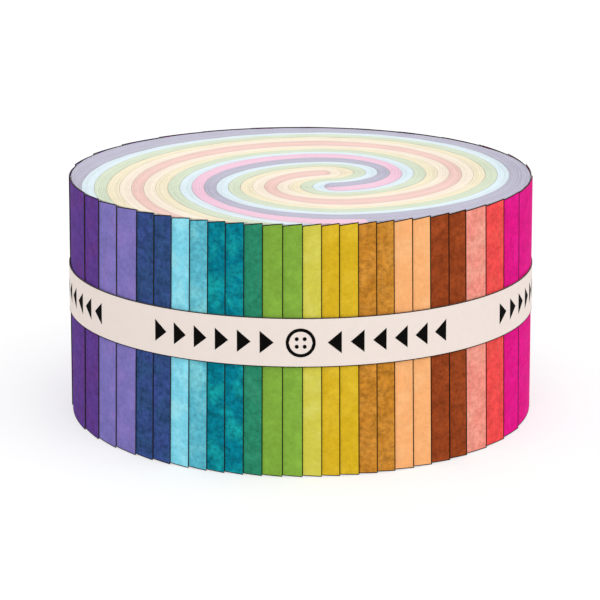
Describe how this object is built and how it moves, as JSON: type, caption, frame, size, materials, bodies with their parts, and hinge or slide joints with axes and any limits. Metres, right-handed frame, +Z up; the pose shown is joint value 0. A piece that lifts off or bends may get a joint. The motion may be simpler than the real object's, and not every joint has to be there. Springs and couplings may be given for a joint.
{
  "type": "rolled bundle of fabric strips",
  "caption": "Precut cotton fabric strips, folded as a pile and wound into a disc that stands on its cut edges, with shaded ends shingled round the side and a plain paper band.",
  "frame": {"origin": "centre of the roll's base, on the surface that it stands on", "axes": "+Z up along the roll's axis, -Y towards the front, where the narrow strip ends in green and yellow are"},
  "size_m": [0.1242, 0.1242, 0.0635],
  "materials": {
    "coral_edge": "cut edges of woven cotton, pale coral",
    "cream_edge": "cut edges of woven cotton, cream",
    "yellow_edge": "cut edges of woven cotton, pale yellow",
    "green_edge": "cut edges of woven cotton, pale green",
    "blue_edge": "cut edges of woven cotton, pale blue",
    "lilac_edge": "cut edges of woven cotton, lilac",
    "pink_edge": "cut edges of woven cotton, pale pink",
    "purple": "plain woven cotton, lightly mottled, matte",
    "lavender": "plain woven cotton, lightly mottled, matte",
    "navy": "plain woven cotton, mottled, matte",
    "sky": "plain woven cotton, mottled, matte",
    "aqua": "plain woven cotton, strongly mottled, matte",
    "teal": "plain woven cotton, mottled, matte",
    "jade": "plain woven cotton, mottled, matte",
    "lime": "plain woven cotton, lightly mottled, matte",
    "citron": "plain woven cotton, lightly mottled, matte",
    "gold": "plain woven cotton, lightly mottled, matte",
    "amber": "plain woven cotton, mottled, matte",
    "peach": "plain woven cotton, lightly mottled, matte",
    "brown": "plain woven cotton, lightly mottled, matte",
    "salmon": "plain woven cotton, mottled, matte",
    "poppy": "plain woven cotton, lightly mottled, matte",
    "magenta": "plain woven cotton, lightly mottled, matte",
    "raspberry": "plain woven cotton, lightly mottled, matte",
    "wine": "plain woven cotton, lightly mottled, matte",
    "plum": "plain woven cotton, lightly mottled, matte",
    "mulberry": "plain woven cotton, lightly mottled, matte",
    "orchid": "plain woven cotton, lightly mottled, matte",
    "heather": "plain woven cotton, lightly mottled, matte",
    "violet": "plain woven cotton, lightly mottled, matte",
    "wrap_paper": "smooth uncoated cream paper"
  },
  "bodies": {
    "root": {"wound_coral": "coral_edge", "wound_cream": "cream_edge", "wound_yellow": "yellow_edge", "wound_green": "green_edge", "wound_blue": "blue_edge", "wound_lilac": "lilac_edge", "wound_pink": "pink_edge", "strip_purple_1": "purple", "strip_purple_2": "purple", "strip_lavender_1": "lavender", "strip_lavender_2": "lavender", "strip_navy_1": "navy", "strip_navy_2": "navy", "strip_sky": "sky", "strip_aqua": "aqua", "strip_teal_1": "teal", "strip_teal_2": "teal", "strip_jade": "jade", "strip_lime_1": "lime", "strip_lime_2": "lime", "strip_citron": "citron", "strip_gold_1": "gold", "strip_gold_2": "gold", "strip_amber_1": "amber", "strip_amber_2": "amber", "strip_peach_1": "peach", "strip_peach_2": "peach", "strip_brown_1": "brown", "strip_brown_2": "brown", "strip_salmon": "salmon", "strip_poppy": "poppy", "strip_magenta_1": "magenta", "strip_magenta_2": "magenta", "strip_raspberry_1": "raspberry", "strip_raspberry_2": "raspberry", "strip_wine_1": "wine", "strip_wine_2": "wine", "strip_plum_1": "plum", "strip_plum_2": "plum", "strip_mulberry_1": "mulberry", "strip_mulberry_2": "mulberry", "strip_orchid_1": "orchid", "strip_orchid_2": "orchid", "strip_heather_1": "heather", "strip_heather_2": "heather", "strip_violet_1": "violet", "strip_violet_2": "violet", "wrap_band": "wrap_paper"}
  },
  "joints": []
}
